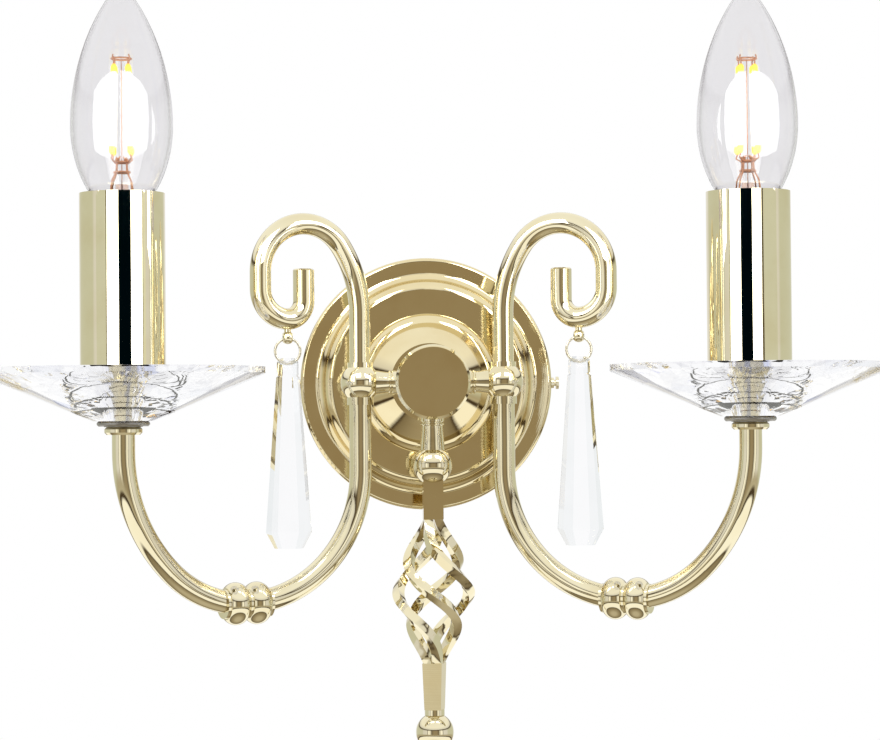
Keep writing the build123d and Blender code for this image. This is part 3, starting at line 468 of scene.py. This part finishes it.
def lamp_inside(side, sign):
    """Four lit rods on a copper cross above and on lead wires below."""
    axis = Vector((sign * CANDLE_X, CANDLE_Y, 0))
    rods, rod_faces = [], []
    wires, wire_faces = [], []
    for step in range(4):
        turn = math.radians(45 + 90 * step)
        out = Vector((math.cos(turn), math.sin(turn), 0))
        foot = axis + out * ROD_LOW_CIRCLE + UP * (ROD_LOW + ROD_RADIUS)
        head = axis + out * ROD_TOP_CIRCLE + UP * (ROD_TOP - ROD_RADIUS)
        tube(rods, rod_faces, [foot, foot.lerp(head, 0.5), head], ROD_RADIUS)
        tube(wires, wire_faces, bent(head + UP * ROD_RADIUS, out, HOOK_BENDS), WIRE_RADIUS)
        tube(wires, wire_faces, bent(axis + UP * ROD_LOW, out, LEAD_BENDS), WIRE_RADIUS)
        tube(wires, wire_faces, bent(axis + UP * STEM_TOP, out, FLARE_BENDS), WIRE_RADIUS * 1.1)
    tube(wires, wire_faces, [axis + UP * level for level in CORE_WIRE_LEVELS], WIRE_RADIUS * 0.55)
    angles = [2 * math.pi * step / RING_STEPS for step in range(RING_STEPS + 1)]
    for level, radius, thick in WIRE_RINGS:
        centre = axis + UP * level
        ring = [centre + Vector((math.cos(angle), math.sin(angle), 0)) * radius for angle in angles]
        tube(wires, wire_faces, ring, WIRE_RADIUS * thick)
    lit = piece(f"lamp_rods_{side}", rods, rod_faces, f"bulb_{side}", finishes["filament"])
    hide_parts(f"bulb_filament_{side}")
    piece(f"lamp_wires_{side}", wires, wire_faces, f"bulb_{side}", copper)


for side, sign in SIDES.items():
    lamp_inside(side, sign)


# ---------------------------------------------------------------- stage
def plane(name, centre, size, facing, finish):
    """A flat card on the stage: size is its width and height."""
    mesh = bpy.data.meshes.new(name)
    w, h = size[0] / 2, size[1] / 2
    mesh.from_pydata([(-w, -h, 0), (w, -h, 0), (w, h, 0), (-w, h, 0)], [], [(0, 1, 2, 3)])
    mesh.materials.append(finish)
    made = bpy.data.objects.new(name, mesh)
    made.location = centre
    made.rotation_mode = "QUATERNION"
    made.rotation_quaternion = Vector(facing).to_track_quat("Z", "Y")
    scene.collection.objects.link(made)
    return made


def floor_finish():
    """Plain pale floor."""
    made, n = material("studio_floor")
    cloud = n.noise(n.place(), 3, 4)
    principled(n, Base_Color=n.mix(cloud, (0.86, 0.86, 0.85), (0.90, 0.90, 0.89)), Roughness=0.6)
    return made


def card_finish(name, level, other, strength=CARD_LEVEL):
    """A card that polished surfaces see, and that light through glass doesn't."""
    made, n = material(name)
    tone = n.mix(n.noise(n.place(), 25, 2), level, other)
    card = n.add("ShaderNodeEmission", {"Color": tone, "Strength": strength})
    clear = n.add("ShaderNodeBsdfTransparent")
    through = n.add("ShaderNodeLightPath").outputs["Is Transmission Ray"]
    joined = n.add("ShaderNodeMixShader", {0: through, 1: card.outputs[0], 2: clear.outputs[0]})
    n.add("ShaderNodeOutputMaterial", {"Surface": joined.outputs[0]})
    return made


def cards(side, name, y, height, edges, finishes_in_turn):
    """Cards side by side: each reaches from one edge to the next, measured from the candle's axis."""
    axis = SIDES[side] * CANDLE_X
    low, high = height
    for step, finish in enumerate(finishes_in_turn):
        start, end = edges[step] / 1000, edges[step + 1] / 1000
        if finish:
            card = plane(f"{name}_{side}_{step}", (axis + (start + end) / 2, y, (low + high) / 2),
                         (end - start, high - low), (0, 1, 0), finish)
            only_glossy(card)


def only_glossy(thing):
    """Only polished surfaces see it."""
    thing.visible_camera = False
    thing.visible_diffuse = False
    thing.visible_transmission = False
    thing.visible_shadow = False


floor = plane("floor", FLOOR_PLACE, FLOOR_SIZE, UP, floor_finish())
floor.visible_glossy = False
floor.visible_transmission = False
white_card = card_finish("white_card", (1.0, 1.0, 1.0), (0.93, 0.93, 0.92))
lamp_white = card_finish("card_lamp_white", (1.0, 1.0, 1.0), (0.93, 0.93, 0.92), LAMP_CARD_LEVEL)
black_card = card_finish("black_card", (0.0, 0.0005, 0.001), (0.0, 0.001, 0.002))
beige_card = card_finish("beige_card", (0.185, 0.190, 0.165), (0.200, 0.205, 0.180))
cream_card = card_finish("cream_card", (0.245, 0.250, 0.215), (0.225, 0.230, 0.195))
edge_card = card_finish("edge_card", (0.035, 0.030, 0.020), (0.045, 0.036, 0.024))
left_row = (beige_card, edge_card, white_card, black_card, white_card, edge_card, cream_card)
right_row = (cream_card, edge_card, white_card, black_card, white_card, edge_card, beige_card)
cards("left", "sleeve_card", SLEEVE_CARD_Y, SLEEVE_CARD_Z, LEFT_EDGES, left_row)
cards("right", "sleeve_card", SLEEVE_CARD_Y, SLEEVE_CARD_Z, RIGHT_EDGES, right_row)
for side in SIDES:
    cards(side, "lamp_card", LAMP_CARD_Y, LAMP_CARD_Z, LAMP_EDGES, (lamp_white, None, lamp_white))


def studio():
    """White to the camera, an even level for matt surfaces, bands and boxes for polished ones."""
    world = bpy.data.worlds.new("studio")
    world.use_nodes = True
    scene.world = world
    n = Nodes(world.node_tree)
    direction = n.add("ShaderNodeTexCoord").outputs["Generated"]
    parts = n.add("ShaderNodeSeparateXYZ", {0: direction})
    toward = n.math("MULTIPLY", parts.outputs[1], -1.0)
    sideways = n.math("ABSOLUTE", n.math("ARCTAN2", parts.outputs[0], toward))
    around = n.math("DIVIDE", sideways, math.pi)
    upward = n.math("DIVIDE", n.math("ARCSINE", parts.outputs[2]), math.pi)
    upward = n.math("ADD", upward, 0.5)

    def at(degrees):
        return degrees / 180

    def up(degrees):
        return (degrees + 90) / 180

    def grey(level):
        return (level / GLOSS_LEVEL,) * 3

    def tone(*colour):
        return tuple(level / GLOSS_LEVEL for level in colour)

    bright = tone(1.25, 1.24, 1.18)
    dark = tone(0.080, 0.055, 0.030)
    core = tone(0.380, 0.310, 0.200)
    beige = tone(0.72, 0.74, 0.63)
    brown = tone(0.27, 0.22, 0.14)
    level_bands = n.ramp(around, [
        (0.0, core), (at(11.5), core), (at(12.5), tone(0.30, 0.25, 0.17)), (at(21), tone(0.28, 0.23, 0.15)),
        (at(22.2), dark), (at(23.8), dark), (at(25), tone(0.80, 0.78, 0.70)),
        (at(33), tone(0.86, 0.84, 0.76)), (at(35), bright), (at(45.5), bright), (at(47), dark),
        (at(48.8), dark), (at(50), grey(0.92)), (at(78), grey(0.86)), (at(84), beige), (at(146), beige),
        (at(154), grey(0.90)), (1.0, grey(0.95))])
    upright_bands = n.ramp(upward, [
        (0.0, tone(0.62, 0.56, 0.43)), (up(-75), tone(0.60, 0.54, 0.41)), (up(-62), tone(0.42, 0.36, 0.25)),
        (up(-50), brown), (up(-47), dark), (up(-43), bright), (up(-23), bright),
        (up(-21), dark), (up(-19), dark), (up(-17), tone(0.60, 0.55, 0.42)),
        (up(-9), core), (up(9), core), (up(11.5), dark), (up(16), dark), (up(18.5), grey(0.90)),
        (up(30), tone(1.15, 1.15, 1.10)), (1.0, tone(1.10, 1.10, 1.06))])
    tilt = n.math("ABSOLUTE", n.math("SUBTRACT", upward, 0.5))
    share = n.remap(tilt, 8 / 180, 16 / 180, 0.0, 1.0, True)
    polished = n.mix(share, level_bands, upright_bands)

    clear = (0.985, 0.985, 0.99)
    pale = (0.86, 0.86, 0.88)
    violet = (0.62, 0.64, 0.86)
    behind = n.ramp(around, [
        (0.0, clear), (at(28), clear), (at(30), pale), (at(34), pale), (at(36), clear), (at(62), clear),
        (at(64), (0.76, 0.77, 0.80)), (at(67), (0.76, 0.77, 0.80)), (at(69), clear), (at(93), clear),
        (at(95), violet), (at(97), violet), (at(99), clear), (at(118), clear), (at(121), pale),
        (at(127), pale), (at(130), clear), (1.0, clear)])
    behind_tilt = n.ramp(upward, [
        (0.0, pale), (up(-60), pale), (up(-52), clear), (up(-30), clear), (up(-27), (0.78, 0.78, 0.81)),
        (up(-23), (0.78, 0.78, 0.81)), (up(-20), clear), (up(22), clear), (up(25), pale), (up(30), pale),
        (up(33), clear), (1.0, clear)])
    behind = n.mix(1.0, behind, behind_tilt, "MULTIPLY")

    path = n.add("ShaderNodeLightPath")
    level = n.mix(path.outputs["Is Glossy Ray"], (0.82, 0.82, 0.83), polished)
    level = n.mix(path.outputs["Is Transmission Ray"], level, behind)
    level = n.mix(path.outputs["Is Camera Ray"], level, (1.0, 1.0, 1.0))
    straight = n.math("SUBTRACT", 1.0, path.outputs["Is Transmission Ray"])
    gloss = n.math("MULTIPLY", path.outputs["Is Glossy Ray"], straight)
    strength = n.remap(gloss, 0.0, 1.0, 1.0, GLOSS_LEVEL)
    shader = n.add("ShaderNodeBackground", {"Color": level, "Strength": strength})
    n.add("ShaderNodeOutputWorld", {"Surface": shader.outputs[0]})
    world.cycles.sampling_method = "NONE"


studio()

# The holders stand face to face on the dishes' floors. Light inside the crystal turns back at the crystal
# there, so the holders don't show in it.
for side in SIDES:
    holder = nodes[f"lampholder_body_{side}"]
    holder.visible_transmission = False
    holder.visible_glossy = False


def lamp(name, place, size, power):
    """A square softbox that faces the object."""
    data = bpy.data.lights.new(name, "AREA")
    data.shape = "SQUARE"
    data.size = size
    data.energy = power
    made = bpy.data.objects.new(name, data)
    made.location = place
    made.rotation_mode = "QUATERNION"
    made.rotation_quaternion = (Vector((0, -0.05, 0)) - Vector(place)).to_track_quat("-Z", "Y")
    made.visible_glossy = False
    made.visible_transmission = False
    made.visible_camera = False
    scene.collection.objects.link(made)


lamp("key_softbox", (-0.9, -1.2, 0.9), 0.9, 7.0)
lamp("fill_softbox", (1.1, -1.0, 0.3), 0.9, 3.0)

# ---------------------------------------------------------------- camera
camera_data = bpy.data.cameras.new("camera")
camera_data.lens = CAMERA_LENS
camera_data.sensor_width = 36
camera = bpy.data.objects.new("camera", camera_data)
camera.location = CAMERA_PLACE
camera.rotation_mode = "QUATERNION"
aim = Vector(CAMERA_DIRECTION).to_track_quat("-Z", "Y")
camera.rotation_quaternion = aim @ Quaternion(UP, CAMERA_ROLL)
scene.collection.objects.link(camera)
scene.camera = camera

scene.view_settings.view_transform = "Standard"
scene.cycles.max_bounces = 48
scene.cycles.transmission_bounces = 40
scene.cycles.glossy_bounces = 40
scene.cycles.transparent_max_bounces = 24
